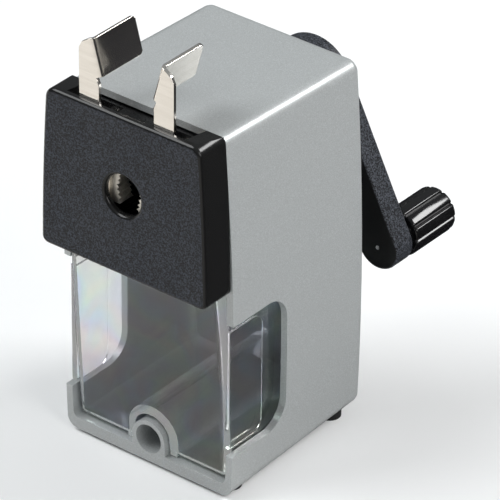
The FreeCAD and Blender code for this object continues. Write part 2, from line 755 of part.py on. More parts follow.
def make_drawer():
    """Clear box with a leaning front, a tunnel over the clamp socket and a raised grip on each side."""
    body = new_body("drawer")
    half_low, half_high = "drawer_bottom_width/2", "drawer_top_width/2"
    block = outline(body, "XZ_Plane", "-(front_face - 3)", [
        (f"-{half_low}", "drawer_bottom"), (half_low, "drawer_bottom", "drawer_side_radius"),
        (half_high, "drawer_top"), (f"-{half_high}", "drawer_top", "drawer_side_radius")])
    pad(body, block, "drawer_rear - front_face + 3", backwards=True)

    def front_at(height, inset=0):
        return f"front_face - drawer_lean*({height} - drawer_pivot_z) + {inset}"

    lean = outline(body, "YZ_Plane", 0, [
        ("front_face - 5", "drawer_bottom - 1"), (front_at("(drawer_bottom - 1)"), "drawer_bottom - 1"),
        (front_at("(drawer_top + 1)"), "drawer_top + 1"), ("front_face - 5", "drawer_top + 1")])
    pocket(body, lean, "2*drawer_top_width", centred=True)
    corner = number("front_face") + 2
    soften(body, "Fillet", "drawer_corner",
           lambda edge: edge.BoundBox.ZLength > 60 and edge.BoundBox.YMax < corner)
    soften(body, "Fillet", "drawer_edge_round",
           lambda edge: edge.BoundBox.YLength > 50 and edge.BoundBox.ZMax < number("drawer_bottom") + 1)
    floor = "drawer_bottom + drawer_wall"
    inside = outline(body, "YZ_Plane", 0, [
        (front_at(f"({floor})", "drawer_wall"), floor), ("drawer_rear - drawer_wall", floor),
        ("drawer_rear - drawer_wall", "drawer_top + 1"),
        (front_at("(drawer_top + 1)", "drawer_wall"), "drawer_top + 1")])
    pocket(body, inside, "drawer_bottom_width - 2*drawer_wall", centred=True)

    def arch(half, crown, y):
        return outline(body, "XZ_Plane", f"-({y})", [
            (f"-({half})", "drawer_bottom - 0.5"), (half, "drawer_bottom - 0.5"),
            (half, f"{crown} - {half}", half), (0, crown, half), (f"-({half})", f"{crown} - {half}")])

    outer_half = "(tunnel_half + tunnel_wall)"
    outer_crown = "(tunnel_crown + tunnel_wall)"
    shell = arch(outer_half, outer_crown, "front_face + 2")
    pad(body, shell, "drawer_rear - front_face - 2", backwards=True)
    hollow = arch("tunnel_half", "tunnel_crown", "front_face - 3")
    pocket(body, hollow, "drawer_rear - front_face + 6")
    under = outline(body, "XY_Plane", "drawer_bottom - 1", [
        ("-tunnel_half - 4", "front_face - 3"), ("tunnel_half + 4", "front_face - 3"),
        ("tunnel_half + 4", "drawer_rear + 1"), ("-tunnel_half - 4", "drawer_rear + 1")])
    pocket(body, under, "1", backwards=True)
    for side in (-1, 1):
        grip = outline(body, "YZ_Plane", f"{side}*drawer_bottom_width/2 - {side}*0.4", [
            ("front_face + 0.8", "notch_bottom + 2"),
            ("front_face + grip_depth - grip_corner", "notch_bottom + 2", "grip_corner"),
            ("front_face + grip_depth", "notch_bottom + 2 + grip_corner"),
            ("front_face + grip_depth", "notch_top - 3 - grip_corner", "grip_corner"),
            ("front_face + grip_depth - grip_corner", "notch_top - 3"),
            ("front_face + 0.8", "notch_top - 3")])
        pad(body, grip, "grip_proud + 0.4", backwards=side < 0)
    return body


# ---- carriage: front cover, steel plate, rods, springs

def cover_outline(body, y, inset, bottom, top):
    return outline(body, "XZ_Plane", f"-({y})", [
        (f"-cover_bottom_half + ({inset})", bottom),
        (f"cover_bottom_half - ({inset})", bottom, "cover_side_radius"),
        (f"cover_top_half - ({inset})", top),
        (f"-cover_top_half + ({inset})", top, "cover_side_radius")])


BOSS_SPOTS = [(f"{side}*cover_boss_x", f"cover_boss_{level}")
              for side in (-1, 1) for level in ("low", "high")]


def make_cover():
    """Moulded cover, open at the back and along the top, where the levers come out."""
    body = new_body("front_cover")
    pad(body, cover_outline(body, "cover_front", "0", "cover_bottom", "cover_top"),
        "cover_rear - cover_front", backwards=True)
    soften(body, "Fillet", "cover_corner", lambda edge: edge.BoundBox.XLength < 0.01
           and edge.BoundBox.YLength > 10 and edge.BoundBox.ZMin > number("cover_top") - 1)
    soften(body, "Fillet", "cover_low_corner", lambda edge: edge.BoundBox.XLength < 0.01
           and edge.BoundBox.YLength > 10 and edge.BoundBox.ZMax < number("cover_bottom") + 1)
    soften(body, "Fillet", "cover_edge_round",
           lambda edge: edge.BoundBox.YMax < number("cover_front") + 0.01)
    top_slope = outline(body, "YZ_Plane", 0, [
        ("cover_front + cover_face", "cover_top"), ("cover_rear + 1", "housing_top"),
        ("cover_rear + 1", "cover_top + 1"), ("cover_front + cover_face", "cover_top + 1")])
    pocket(body, top_slope, "4*cover_top_half", centred=True)
    cavity = cover_outline(body, "cover_front + cover_face", "cover_wall",
                           "cover_bottom + cover_wall", "housing_top - cover_wall")
    pocket(body, cavity, "20")
    slot = outline(body, "XZ_Plane", "-(cover_front + cover_face)", [
        ("-cover_slot_half", "axis_height"), ("cover_slot_half", "axis_height"),
        ("cover_slot_half", "cover_top + 2"), ("-cover_slot_half", "cover_top + 2")])
    pocket(body, slot, "20")
    posts = circles(body, "XZ_Plane", "-(cover_front + cover_face)", [
        (x, z, "cover_boss_radius") for x, z in BOSS_SPOTS])
    pad(body, posts, "plate_front - cover_front - cover_face", backwards=True)
    pilots = circles(body, "XZ_Plane", "-plate_front", [(x, z, "cover_boss_pilot") for x, z in BOSS_SPOTS])
    pocket(body, pilots, "5", backwards=True)
    hole = circles(body, "XZ_Plane", "-cover_front", [(0, "axis_height", "pencil_bore")])
    pocket(body, hole, "cover_face + 1")
    soften(body, "Fillet", "1.2", lambda edge: edge.BoundBox.YMax < number("cover_front") + 0.01
           and abs(edge.BoundBox.XLength - 2 * number("pencil_bore")) < 0.1)
    return body


def make_carriage_plate():
    """Pressed steel plate that closes the cover; its top edge is folded forward between the levers."""
    body = new_body("carriage_plate")
    plate = cover_outline(body, "plate_front", "cover_wall + 0.2", "cover_bottom + cover_wall + 0.2",
                          "housing_top - cover_wall - 0.4")
    pad(body, plate, "plate_rear - plate_front", backwards=True)
    high = "housing_top - cover_wall - 0.4"
    flange = outline(body, "XZ_Plane", "-(plate_front - flange_length)", [
        ("-flange_half", f"{high} - sheet_steel"), ("flange_half", f"{high} - sheet_steel"),
        ("flange_half", high), ("-flange_half", high)])
    pad(body, flange, "flange_length", backwards=True)
    holes = circles(body, "XZ_Plane", "-plate_front", [
        (0, "axis_height", "pencil_bore + 0.4"),
        ("-rod_x", "rod_z", "rod_radius"), ("rod_x", "rod_z", "rod_radius"),
        ("-pivot_x", "pivot_z", "pivot_radius"), ("pivot_x", "pivot_z", "pivot_radius"),
        *[(x, z, "cover_boss_pilot") for x, z in BOSS_SPOTS]])
    pocket(body, holes, "3")
    return body


def make_guides(side, name):
    x = f"{side}*rod_x"
    turned(f"guide_rod_{name}", [
        (0, "plate_front - 1.2"), ("rod_radius + 1.2", "plate_front - 1.2"),
        ("rod_radius + 1.2", "plate_front"), ("rod_radius", "plate_front"),
        ("rod_radius", "rod_end - 0.5"), ("rod_radius - 0.5", "rod_end"), (0, "rod_end")], x=x, z="rod_z")
    turned(f"rod_clip_{name}", [
        ("rod_radius", "clip_front"), ("rod_radius + 1.7", "clip_front"),
        ("rod_radius + 1.7", "clip_front + 1.2"), ("rod_radius", "clip_front + 1.2")], x=x, z="rod_z")
    coil = doc.addObject("Part::Helix", f"coil_{name}")
    first, last = "bulkhead_rear + 2*spring_wire", "clip_front - 2*spring_wire"
    reach = f"({last} - ({first}))"
    bind(coil, Radius="spring_coil", Height=reach, Pitch=f"{reach}/spring_turns")
    wire = doc.addObject("Part::Circle", f"wire_{name}")
    bind(wire, Radius="spring_wire")
    place(wire, x="spring_coil", turn=Rotation(Vector(1, 0, 0), 90))
    spring = doc.addObject("Part::Sweep", f"return_spring_{name}")
    spring.Sections = [wire]
    spring.Spine = (coil, [])
    spring.Solid = True
    spring.Frenet = True
    place(spring, x, first, "rod_z", ALONG_Y)
    keep(spring, f"return_spring_{name}")


def rivet_spots(side):
    return [(f"{side}*rivet_x", f"axis_height + {way}*rivet_rise", "rivet_radius") for way in (-1, 1)]


def make_lever(side, name):
    """Bell crank of sheet steel: finger tab above, toothed sector at the pivot, jaw arm below."""
    body = new_body(f"lever_{name}")
    module = "(2*pivot_x/sector_teeth)"
    pitch_angle = 360 / number("sector_teeth")
    corners = [
        ("arm_outer", "arm_bottom"), ("arm_outer + 1.8", "post_z + 12"),
        ("strip_outer", "pivot_z - 6"),
        ("strip_outer", "fold_top - 4.2"), ("strip_outer - 1.1", "fold_top - 2.1"),
        ("fold_top_x", "fold_top"), ("fold_bottom_x", "fold_bottom"),
        ("strip_inner", "fold_bottom - 2.4"), ("strip_inner", "pivot_z + 8.6")]
    first = -1.5 if side > 0 else -1
    count = 4 if side > 0 else 3
    for index in range(count):
        centre = first + index
        for share, rise in ((-0.34, -1.15), (-0.13, 0.8), (0.13, 0.8), (0.34, -1.15)):
            angle = f"{-(centre + share) * pitch_angle:g}"
            reach = f"(pivot_x + {rise}*{module})"
            corners.append((f"pivot_x - {reach}*cos({angle})", f"pivot_z + {reach}*sin({angle})"))
    corners += [("arm_inner", "pivot_z - 8.4"), ("arm_inner", "arm_bottom")]
    flat = [(f"{side}*({x})", z) for x, z in corners]
    pad(body, outline(body, "XZ_Plane", "-lever_front", flat), "sheet_steel", backwards=True)

    across, down = "0.97*sheet_steel", "0.24*sheet_steel"  # square to the slanting fold
    tab = outline(body, "XZ_Plane", "-lever_front", [
        (f"{side}*fold_bottom_x", "fold_bottom"),
        (f"{side}*(fold_bottom_x + {across})", f"fold_bottom - {down}"),
        (f"{side}*(fold_top_x + {across})", f"fold_top - {down}"), (f"{side}*fold_top_x", "fold_top")])
    pad(body, tab, "sheet_steel + tab_length", backwards=True)
    holes = circles(body, "XZ_Plane", "-lever_front", [
        (f"{side}*pivot_x", "pivot_z", "pivot_radius + running_gap"),
        (f"{side}*post_x", "post_z", "post_radius"), *rivet_spots(side)])
    pocket(body, holes, "sheet_steel")


def make_jaw(side, name):
    """Steel block with a vee of teeth that grips the pencil."""
    body = new_body(f"jaw_{name}")
    corners = [(f"{side}*jaw_outer", "axis_height - jaw_half_height"),
               (f"{side}*jaw_outer", "axis_height + jaw_half_height")]
    half, teeth = number("jaw_half_height"), int(number("jaw_teeth"))
    for index in range(teeth):
        for share, bite in ((0.02, 0.9), (0.5, 0)):
            height = half - 2 * half * (index + share) / teeth
            vee = 1.2 - 0.22 * abs(height)
            corners.append((f"{side}*(jaw_rest_gap + {vee + bite:g})", f"axis_height + {height:g}"))
    corners.append((f"{side}*(jaw_rest_gap + 0.9)", "axis_height - jaw_half_height"))
    pad(body, outline(body, "XZ_Plane", "-lever_rear", corners), "jaw_depth", backwards=True)
    pocket(body, circles(body, "XZ_Plane", "-lever_rear", rivet_spots(side)), "jaw_depth")
    stems = [rod(f"rivet_{name}", radius, "sheet_steel + jaw_depth", x, "lever_front", z)
             for x, z, radius in rivet_spots(side)]
    stems.append(rod(f"spring_post_{name}", "post_radius", "sheet_steel + 3.6",
                     f"{side}*post_x", "lever_front", "post_z"))
    grouped(f"jaw_rivets_{name}", stems)


def make_pivot_pin(side, name):
    turned(f"pivot_pin_{name}", [
        (0, "cover_front + cover_face"), ("pivot_radius", "cover_front + cover_face"),
        ("pivot_radius", "lever_rear + 0.1"), ("pivot_radius + 1.2", "lever_rear + 0.1"),
        ("pivot_radius + 1.2", "plate_front"), ("pivot_radius", "plate_front"),
        ("pivot_radius", "plate_rear"), (0, "plate_rear")], x=f"{side}*pivot_x", z="pivot_z")


def make_jaw_spring():
    """Tension spring that pulls the two jaw arms together."""
    length = "(2*post_x - 4.4)"
    coil = doc.addObject("Part::Helix", "coil_jaw")
    bind(coil, Radius="jaw_coil", Height=length, Pitch=f"{length}/jaw_turns")
    wire = doc.addObject("Part::Circle", "wire_jaw")
    bind(wire, Radius="jaw_wire")
    place(wire, x="jaw_coil", turn=Rotation(Vector(1, 0, 0), 90))
    spring = doc.addObject("Part::Sweep", "jaw_spring")
    spring.Sections = [wire]
    spring.Spine = (coil, [])
    spring.Solid = True
    spring.Frenet = True
    place(spring, f"-{length}/2", "lever_rear + 2", "post_z", Rotation(Vector(0, 1, 0), 90))
    keep(spring, "jaw_spring")


make_housing()
make_base_pad()
make_bulkhead()
make_ring_gear()
screws("ring_gear_screws", [("-lug_offset", "axis_height"), ("lug_offset", "axis_height"),
                            (0, "axis_height - lug_offset")],
       "bulkhead_rear + ring_length", -1, 2, 1.2, 1, "ring_length + bulkhead_thickness")
screws("bulkhead_screws", [(f"{side}*boss_{level}_x", f"boss_{level}_z")
                           for side in (-1, 1) for level in ("upper", "lower")],
       "bulkhead_front", 1, 2.2, 1.1, 1.2, "bulkhead_thickness + boss_length - 3")
make_rear_bearing()
screws("bearing_screws", [("-bearing_screw_offset", "axis_height + bearing_screw_offset"),
                          ("bearing_screw_offset", "axis_height - bearing_screw_offset")],
       "rear_face - wall", 1, 2, 1.2, 1, "wall + 1.8")
make_carrier()
make_cutter()
make_pinion()
make_cutter_axle()
make_crank()
make_drawer()
make_cover()
make_carriage_plate()
screws("cover_screws", BOSS_SPOTS, "plate_rear", -1, 2, 1, 1.1, "5 + plate_rear - plate_front")
for side, name in ((-1, "left"), (1, "right")):
    make_guides(side, name)
    make_lever(side, name)
    make_jaw(side, name)
    make_pivot_pin(side, name)
make_jaw_spring()

doc.recompute()
for item in doc.Objects:
    if "Invalid" in item.State or "Error" in item.State:
        raise RuntimeError(f"{item.Label}: {item.State}")
os.makedirs("parts", exist_ok=True)
for part in PARTS:
    if part.Shape.isNull() or not part.Shape.isValid() or part.Shape.Volume <= 0:
        raise RuntimeError(f"{part.Label}: bad shape")
    part.Shape.exportStep(f"parts/{part.Label}.step")
    print(part.Label, len(part.Shape.Solids), round(part.Shape.Volume, 1))
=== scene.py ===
import json
import math

import bmesh
import bpy
from mathutils import Matrix, Vector

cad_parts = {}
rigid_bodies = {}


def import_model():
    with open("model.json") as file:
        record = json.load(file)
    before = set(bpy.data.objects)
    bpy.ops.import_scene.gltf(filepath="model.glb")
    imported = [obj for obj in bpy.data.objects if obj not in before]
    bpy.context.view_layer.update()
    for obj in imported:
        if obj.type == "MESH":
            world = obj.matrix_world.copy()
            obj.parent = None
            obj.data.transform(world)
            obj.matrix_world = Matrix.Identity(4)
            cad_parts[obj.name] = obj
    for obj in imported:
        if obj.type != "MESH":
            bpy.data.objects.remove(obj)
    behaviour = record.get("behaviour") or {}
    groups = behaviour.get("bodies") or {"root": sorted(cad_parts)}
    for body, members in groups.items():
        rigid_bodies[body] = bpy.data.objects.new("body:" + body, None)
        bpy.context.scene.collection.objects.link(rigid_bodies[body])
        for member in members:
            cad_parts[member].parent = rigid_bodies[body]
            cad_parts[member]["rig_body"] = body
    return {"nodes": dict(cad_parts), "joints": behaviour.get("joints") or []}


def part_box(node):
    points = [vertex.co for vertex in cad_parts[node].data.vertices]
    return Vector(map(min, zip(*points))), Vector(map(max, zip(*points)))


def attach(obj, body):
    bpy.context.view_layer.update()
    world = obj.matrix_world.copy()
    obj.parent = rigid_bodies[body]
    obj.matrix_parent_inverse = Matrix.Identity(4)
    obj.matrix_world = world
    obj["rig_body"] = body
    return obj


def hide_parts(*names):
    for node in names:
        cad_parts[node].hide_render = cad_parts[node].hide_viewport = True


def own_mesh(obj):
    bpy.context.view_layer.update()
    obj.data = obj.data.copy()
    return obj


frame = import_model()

scene = bpy.context.scene
nodes = frame["nodes"]
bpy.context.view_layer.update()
millimetre = 0.001
print("frame loaded with", len(nodes), "nodes")


# helpers for shader trees

def addNode(tree, kind, values=(), **settings):
    node = tree.nodes.new(kind)
    for name, value in settings.items():
        setattr(node, name, value)
    for socket, value in dict(values).items():
        node.inputs[socket].default_value = value
    return node


def startGroup(name, inputs, outputs):
    group = bpy.data.node_groups.new(name, "ShaderNodeTree")
    for label, kind, value in inputs:
        socket = group.interface.new_socket(name=label, in_out="INPUT", socket_type=kind)
        socket.default_value = value
    for label, kind in outputs:
        group.interface.new_socket(name=label, in_out="OUTPUT", socket_type=kind)
    return group, group.nodes.new("NodeGroupInput"), group.nodes.new("NodeGroupOutput")


def placeGroup(tree, group, **values):
    node = tree.nodes.new("ShaderNodeGroup")
    node.node_tree = group
    for label, value in values.items():
        node.inputs[label].default_value = value
    return node


def mixColours(tree, factor, first, second):
    mix = addNode(tree, "ShaderNodeMix", data_type="RGBA")
    tree.links.new(factor, mix.inputs[0])
    for source, socket in ((first, mix.inputs[6]), (second, mix.inputs[7])):
        if isinstance(source, tuple):
            socket.default_value = source
        else:
            tree.links.new(source, socket)
    return mix.outputs[2]


def mixValues(tree, factor, first, second):
    mix = addNode(tree, "ShaderNodeMix", data_type="FLOAT")
    for source, index in ((factor, 0), (first, 2), (second, 3)):
        tree.links.new(source, mix.inputs[index])
    return mix.outputs[0]


def remap(tree, source, fromLow, fromHigh, toLow=0.0, toHigh=1.0):
    node = addNode(tree, "ShaderNodeMapRange", {1: fromLow, 2: fromHigh, 3: toLow, 4: toHigh})
    tree.links.new(source, node.inputs[0])
    return node.outputs[0]


def calculate(tree, operation, first, second):
    node = addNode(tree, "ShaderNodeMath", operation=operation)
    for source, socket in ((first, node.inputs[0]), (second, node.inputs[1])):
        if isinstance(source, (int, float)):
            socket.default_value = source
        else:
            tree.links.new(source, socket)
    return node.outputs[0]


def rgb(red, green, blue):
    # screen values from 0 to 255, as linear light
    def linear(value):
        share = value / 255
        return share / 12.92 if share <= 0.04045 else ((share + 0.055) / 1.055) ** 2.4
    return (linear(red), linear(green), linear(blue), 1.0)


# effects that several finishes share

def buildMouldGrain():
    # eroded mould texture: fine pits with a few light flecks
    tree, start, end = startGroup(
        "mouldGrain",
        [("Colour", "NodeSocketColor", (0.1, 0.1, 0.1, 1)),
         ("FleckColour", "NodeSocketColor", (0.2, 0.2, 0.2, 1)),
         ("Grain", "NodeSocketFloat", 1800.0),
         ("Flecks", "NodeSocketFloat", 0.5),
         ("Roughness", "NodeSocketFloat", 0.5),
         ("Spread", "NodeSocketFloat", 0.1)],
        [("Colour", "NodeSocketColor"), ("Roughness", "NodeSocketFloat"), ("Height", "NodeSocketFloat")])
    place = addNode(tree, "ShaderNodeTexCoord").outputs["Object"]
    cloud = addNode(tree, "ShaderNodeTexNoise", {"Detail": 3.0, "Roughness": 0.62})
    pits = addNode(tree, "ShaderNodeTexVoronoi", feature="SMOOTH_F1")
    pits.inputs["Smoothness"].default_value = 0.35
    coarse = addNode(tree, "ShaderNodeTexNoise", {"Scale": 90.0, "Detail": 2.0})
    for texture in (cloud, pits, coarse):
        tree.links.new(place, texture.inputs["Vector"])
    tree.links.new(start.outputs["Grain"], cloud.inputs["Scale"])
    tree.links.new(calculate(tree, "MULTIPLY", start.outputs["Grain"], 1.4), pits.inputs["Scale"])
    height = calculate(tree, "ADD", cloud.outputs["Fac"],
                       calculate(tree, "MULTIPLY", pits.outputs["Distance"], 0.5))
    flecks = remap(tree, height, 0.62, 0.98)
    share = calculate(tree, "MULTIPLY", flecks, start.outputs["Flecks"])
    colour = mixColours(tree, share, start.outputs["Colour"], start.outputs["FleckColour"])
    wander = calculate(tree, "ADD", remap(tree, cloud.outputs["Fac"], 0.3, 0.7, -0.6, 0.6),
                       remap(tree, coarse.outputs["Fac"], 0.3, 0.7, -0.4, 0.4))
    roughness = calculate(tree, "ADD", start.outputs["Roughness"],
                          calculate(tree, "MULTIPLY", wander, start.outputs["Spread"]))
    tree.links.new(colour, end.inputs["Colour"])
    tree.links.new(roughness, end.inputs["Roughness"])
    tree.links.new(height, end.inputs["Height"])
    return tree


def buildHandling():
    # faint finger marks and cleaning streaks that change the gloss
    tree, start, end = startGroup(
        "handling",
        [("Roughness", "NodeSocketFloat", 0.2), ("Spread", "NodeSocketFloat", 0.06),
         ("Size", "NodeSocketFloat", 120.0)],
        [("Roughness", "NodeSocketFloat"), ("Marks", "NodeSocketFloat")])
    place = addNode(tree, "ShaderNodeTexCoord").outputs["Object"]
    marks = addNode(tree, "ShaderNodeTexNoise", {"Detail": 4.0, "Roughness": 0.55, "Distortion": 0.8})
    tree.links.new(place, marks.inputs["Vector"])
    tree.links.new(start.outputs["Size"], marks.inputs["Scale"])
    mask = remap(tree, marks.outputs["Fac"], 0.42, 0.7)
    lifted = calculate(tree, "MULTIPLY", mask, start.outputs["Spread"])
    tree.links.new(calculate(tree, "ADD", start.outputs["Roughness"], lifted), end.inputs["Roughness"])
    tree.links.new(mask, end.inputs["Marks"])
    return tree


def buildBrushed():
    # rolling or grinding lines; Stretch squeezes the pattern across them
    tree, start, end = startGroup(
        "brushed",
        [("Colour", "NodeSocketColor", (0.6, 0.6, 0.6, 1)),
         ("LineColour", "NodeSocketColor", (0.4, 0.4, 0.4, 1)),
         ("Stretch", "NodeSocketVector", (3000.0, 60.0, 60.0)),
         ("Roughness", "NodeSocketFloat", 0.25),
         ("Spread", "NodeSocketFloat", 0.1)],
        [("Colour", "NodeSocketColor"), ("Roughness", "NodeSocketFloat"), ("Height", "NodeSocketFloat")])
    place = addNode(tree, "ShaderNodeTexCoord").outputs["Object"]
    squeeze = addNode(tree, "ShaderNodeVectorMath", operation="MULTIPLY")
    tree.links.new(place, squeeze.inputs[0])
    tree.links.new(start.outputs["Stretch"], squeeze.inputs[1])
    lines = addNode(tree, "ShaderNodeTexNoise", {"Scale": 1.0, "Detail": 3.0, "Roughness": 0.6})
    tree.links.new(squeeze.outputs[0], lines.inputs["Vector"])
    mask = remap(tree, lines.outputs["Fac"], 0.35, 0.68)
    tree.links.new(mixColours(tree, mask, start.outputs["Colour"], start.outputs["LineColour"]),
                   end.inputs["Colour"])
    lifted = calculate(tree, "MULTIPLY", mask, start.outputs["Spread"])
    tree.links.new(calculate(tree, "ADD", start.outputs["Roughness"], lifted), end.inputs["Roughness"])
    tree.links.new(lines.outputs["Fac"], end.inputs["Height"])
    return tree


def buildFacing():
    # 1 where the surface faces Direction, 0 where it turns away
    tree, start, end = startGroup(
        "facing",
        [("Direction", "NodeSocketVector", (0.0, -1.0, 0.0)),
         ("Low", "NodeSocketFloat", 0.9), ("High", "NodeSocketFloat", 0.98)],
        [("Mask", "NodeSocketFloat")])
    normal = addNode(tree, "ShaderNodeTexCoord").outputs["Normal"]
    dot = addNode(tree, "ShaderNodeVectorMath", operation="DOT_PRODUCT")
    tree.links.new(normal, dot.inputs[0])
    tree.links.new(start.outputs["Direction"], dot.inputs[1])
    ramp = addNode(tree, "ShaderNodeMapRange")
    tree.links.new(dot.outputs["Value"], ramp.inputs[0])
    tree.links.new(start.outputs["Low"], ramp.inputs[1])
    tree.links.new(start.outputs["High"], ramp.inputs[2])
    tree.links.new(ramp.outputs[0], end.inputs["Mask"])
    return tree


def buildStress():
    # soft rainbow that moulding stress leaves in clear plastic
    tree, start, end = startGroup(
        "stress",
        [("Colour", "NodeSocketColor", (1, 1, 1, 1)), ("Strength", "NodeSocketFloat", 0.1),
         ("Bands", "NodeSocketFloat", 55.0)],
        [("Colour", "NodeSocketColor"), ("Ripple", "NodeSocketFloat")])
    place = addNode(tree, "ShaderNodeTexCoord").outputs["Object"]
    flow = addNode(tree, "ShaderNodeTexNoise", {"Detail": 1.5, "Distortion": 1.2})
    tree.links.new(place, flow.inputs["Vector"])
    tree.links.new(start.outputs["Bands"], flow.inputs["Scale"])
    turns = calculate(tree, "FRACT", calculate(tree, "MULTIPLY", flow.outputs["Fac"], 3.2), 0.0)
    rainbow = addNode(tree, "ShaderNodeValToRGB")
    stops = rainbow.color_ramp.elements
    stops[0].position, stops[0].color = 0.0, rgb(255, 244, 214)
    stops[1].position, stops[1].color = 1.0, rgb(255, 244, 214)
    for position, colour in ((0.25, (236, 196, 214)), (0.5, (190, 210, 255)), (0.75, (205, 250, 220))):
        stops.new(position).color = rgb(*colour)
    tree.links.new(turns, rainbow.inputs["Fac"])
    tinted = mixColours(tree, start.outputs["Strength"], start.outputs["Colour"], rainbow.outputs["Color"])
    tree.links.new(tinted, end.inputs["Colour"])
    tree.links.new(flow.outputs["Fac"], end.inputs["Ripple"])
    return tree


mouldGrain = buildMouldGrain()
handling = buildHandling()
brushed = buildBrushed()
facing = buildFacing()
stress = buildStress()


def startMaterial(name, **values):
    material = bpy.data.materials.new(name)
    material.use_nodes = True
    tree = material.node_tree
    tree.nodes.clear()
    shader = tree.nodes.new("ShaderNodeBsdfPrincipled")
    output = tree.nodes.new("ShaderNodeOutputMaterial")
    tree.links.new(shader.outputs[0], output.inputs["Surface"])
    for socket, value in values.items():
        shader.inputs[socket.replace("_", " ")].default_value = value
    return material, tree, shader


def feedBump(tree, shader, height, depth):
    bump = addNode(tree, "ShaderNodeBump", {"Strength": 1.0, "Distance": depth})
    tree.links.new(height, bump.inputs["Height"])
    tree.links.new(bump.outputs[0], shader.inputs["Normal"])


# one function for each finish

toTheFront = (0.0, -1.0, 0.0)

housingFinish = {
    "colour": rgb(175, 178, 178),
    "fleck": rgb(214, 218, 219),
    "flecks": 0.5,
    "grain": 2600.0,
    "roughness": 0.36,
    "spread": 0.08,
    "metallic": 0.25,
    "coat": 0.3,
    "coatRoughness": 0.12,
    "pitDepth": 0.01 * millimetre,
}


def makeHousingGrey():
    look = housingFinish
    material, tree, shader = startMaterial("housingGrey", Metallic=look["metallic"],
                                           Coat_Weight=look["coat"], Coat_Roughness=look["coatRoughness"])
    grain = placeGroup(tree, mouldGrain, Colour=look["colour"], FleckColour=look["fleck"],
                       Grain=look["grain"], Flecks=look["flecks"],
                       Roughness=look["roughness"], Spread=look["spread"])
    tree.links.new(grain.outputs["Colour"], shader.inputs["Base Color"])
    tree.links.new(grain.outputs["Roughness"], shader.inputs["Roughness"])
    feedBump(tree, shader, grain.outputs["Height"], look["pitDepth"])
    return material


coverFinish = {
    "face": rgb(9, 11, 15),
    "faceFleck": rgb(72, 77, 88),
    "gloss": rgb(26, 26, 26),
    "grain": 1500.0,
    "flecks": 0.75,
    "faceRoughness": 0.5,
    "faceSpread": 0.14,
    "glossRoughness": 0.14,
    "glossSpread": 0.07,
    "markSize": 90.0,
    "specular": 0.34,
    "frontFrom": 0.93,
    "frontTo": 0.985,
    "pitDepth": 0.05 * millimetre,
}


def makeCoverBlack():
    # grained front, polished bevel and sides
    look = coverFinish
    material, tree, shader = startMaterial("coverBlack", Specular_IOR_Level=look["specular"])
    grain = placeGroup(tree, mouldGrain, Colour=look["face"], FleckColour=look["faceFleck"],
                       Grain=look["grain"], Flecks=look["flecks"],
                       Roughness=look["faceRoughness"], Spread=look["faceSpread"])
    marks = placeGroup(tree, handling, Roughness=look["glossRoughness"], Spread=look["glossSpread"],
                       Size=look["markSize"])
    front = placeGroup(tree, facing, Direction=toTheFront, Low=look["frontFrom"], High=look["frontTo"])
    mask = front.outputs["Mask"]
    tree.links.new(mixColours(tree, mask, look["gloss"], grain.outputs["Colour"]), shader.inputs["Base Color"])
    roughness = mixValues(tree, mask, marks.outputs["Roughness"], grain.outputs["Roughness"])
    tree.links.new(roughness, shader.inputs["Roughness"])
    feedBump(tree, shader, calculate(tree, "MULTIPLY", grain.outputs["Height"], mask), look["pitDepth"])
    return material


armFinish = {
    "edge": rgb(4, 4, 5),
    "edgeFleck": rgb(96, 100, 109),
    "face": rgb(4, 4, 5),
    "grain": 1600.0,
    "flecks": 0.8,
    "edgeRoughness": 0.46,
    "edgeSpread": 0.14,
    "faceRoughness": 0.28,
    "faceSpread": 0.1,
    "markSize": 110.0,
    "specular": 0.3,
    "frontFrom": 0.8,
    "frontTo": 0.95,
    "pitDepth": 0.05 * millimetre,
}


def makeArmBlack():
    # smooth front face, grain on the rim and behind
    look = armFinish
    material, tree, shader = startMaterial("armBlack", Specular_IOR_Level=look["specular"])
    grain = placeGroup(tree, mouldGrain, Colour=look["edge"], FleckColour=look["edgeFleck"],
                       Grain=look["grain"], Flecks=look["flecks"],
                       Roughness=look["edgeRoughness"], Spread=look["edgeSpread"])
    marks = placeGroup(tree, handling, Roughness=look["faceRoughness"], Spread=look["faceSpread"],
                       Size=look["markSize"])
    front = placeGroup(tree, facing, Direction=toTheFront, Low=look["frontFrom"], High=look["frontTo"])
    mask = front.outputs["Mask"]
    tree.links.new(mixColours(tree, mask, grain.outputs["Colour"], look["face"]), shader.inputs["Base Color"])
    roughness = mixValues(tree, mask, grain.outputs["Roughness"], marks.outputs["Roughness"])
    tree.links.new(roughness, shader.inputs["Roughness"])
    rim = calculate(tree, "SUBTRACT", 1.0, mask)
    feedBump(tree, shader, calculate(tree, "MULTIPLY", grain.outputs["Height"], rim), look["pitDepth"])
    return material


knobFinish = {
    "colour": rgb(16, 16, 17),
    "markLift": 1.35,
    "markSize": 160.0,
    "markDepth": 0.004 * millimetre,
    "roughness": 0.1,
    "spread": 0.06,
}


def makeKnobBlack():
    look = knobFinish
    material, tree, shader = startMaterial("knobBlack")
    marks = placeGroup(tree, handling, Roughness=look["roughness"], Spread=look["spread"],
                       Size=look["markSize"])
    touched = (*(look["markLift"] * share for share in look["colour"][:3]), 1.0)
    tint = mixColours(tree, marks.outputs["Marks"], look["colour"], touched)
    tree.links.new(tint, shader.inputs["Base Color"])
    tree.links.new(marks.outputs["Roughness"], shader.inputs["Roughness"])
    feedBump(tree, shader, marks.outputs["Marks"], look["markDepth"])
    return material


drawerFinish = {
    "colour": rgb(244, 247, 247),
    "roughness": 0.03,
    "spread": 0.04,
    "markSize": 70.0,
    "index": 1.58,
    "rainbow": 0.28,
    "rainbowBands": 34.0,
    # painted glow of the clear walls: emission strength that rises with glossy depth
    "paintedGlow": 0.34,
    "paintedGlowFrom": 2.0,      # reflections inside the wall
    "paintedGlowTo": 8.0,
    "ripple": 0.03 * millimetre,
}


